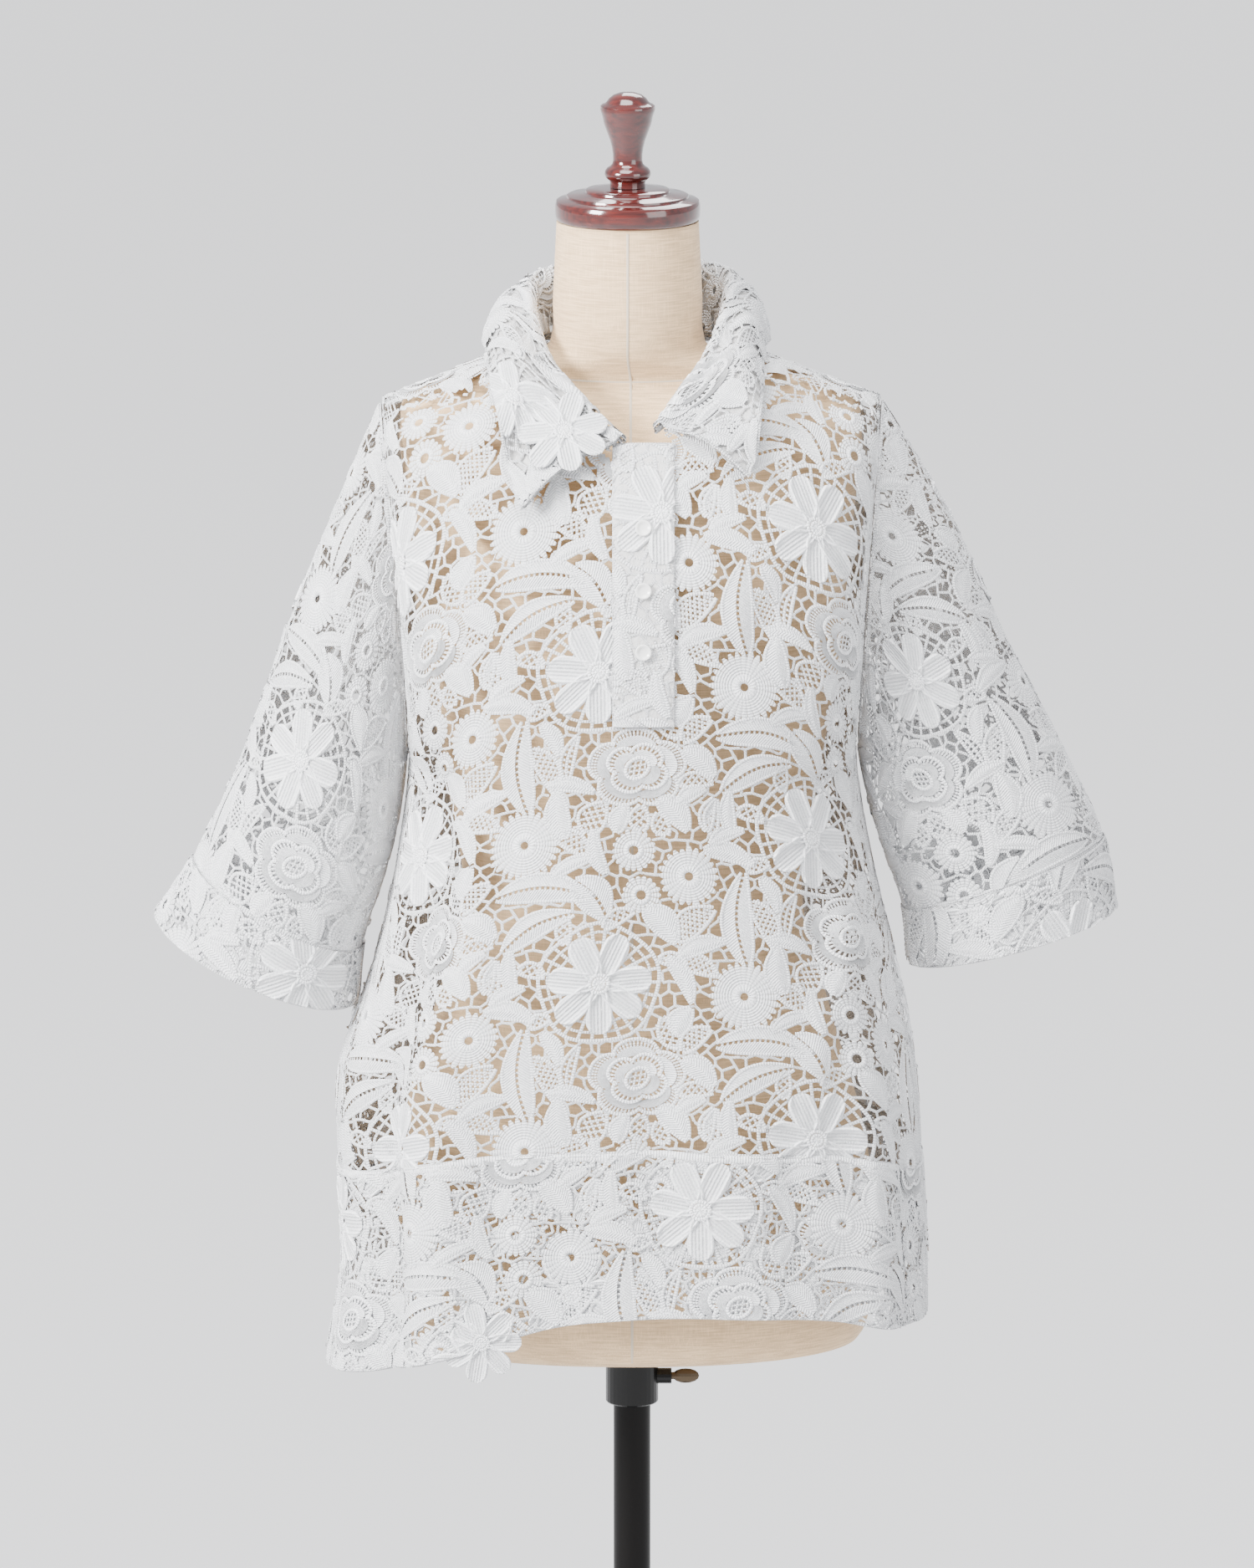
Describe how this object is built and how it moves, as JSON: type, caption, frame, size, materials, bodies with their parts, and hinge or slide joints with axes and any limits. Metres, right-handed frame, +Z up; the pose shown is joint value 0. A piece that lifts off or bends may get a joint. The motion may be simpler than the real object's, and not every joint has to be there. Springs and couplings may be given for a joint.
{
  "type": "lace shirt on a limbless dress form with a pole stand",
  "caption": "White lace shirt with turned-down collar, half placket, long cuffed sleeves and doubled hem band, on a linen-covered limbless dress form with wooden neck cap, pole and round base.",
  "frame": {"origin": "centre of the base's underside, on the pole's axis", "axes": "+Z up along the pole, -Y the way the shirt's front faces, +X the wearer's left"},
  "size_m": [0.6587, 0.34, 1.5803],
  "materials": {
    "stand_base": "satin black paint",
    "stand_pole": "satin dark brown paint",
    "stand_screw": "darkened bronze",
    "form_linen": "natural linen with slubs",
    "turned_wood": "glossy dark red-brown lacquer",
    "lace": "matte white corded lace",
    "buttons": "off-white shell"
  },
  "bodies": {
    "stand": {"base_plate": "stand_base", "pole": "stand_pole"},
    "form": {"socket": "stand_base", "torso": "form_linen", "neck_cap": "turned_wood", "finial": "turned_wood", "front": "lace", "back": "lace", "hem_front": "lace", "hem_back": "lace", "placket_over": "lace", "placket_under": "lace", "button_1": "buttons", "button_2": "buttons", "button_3": "buttons", "sleeve_right_front": "lace", "sleeve_right_back": "lace", "sleeve_left_front": "lace", "sleeve_left_back": "lace", "cuff_right": "lace", "cuff_left": "lace", "collar": "lace"},
    "clamp_screw": {"clamp_screw": "stand_screw"}
  },
  "joints": [
    {"name": "form_height", "type": "slide", "parent": "stand", "child": "form", "axis": [0, 0, 1], "range_m": [-0.1, 0.2]},
    {"name": "clamp_screw_turn", "type": "hinge", "parent": "form", "child": "clamp_screw", "pos_m": [0, 0, 0.6885], "axis": [1, 0, 0], "continuous": true}
  ]
}
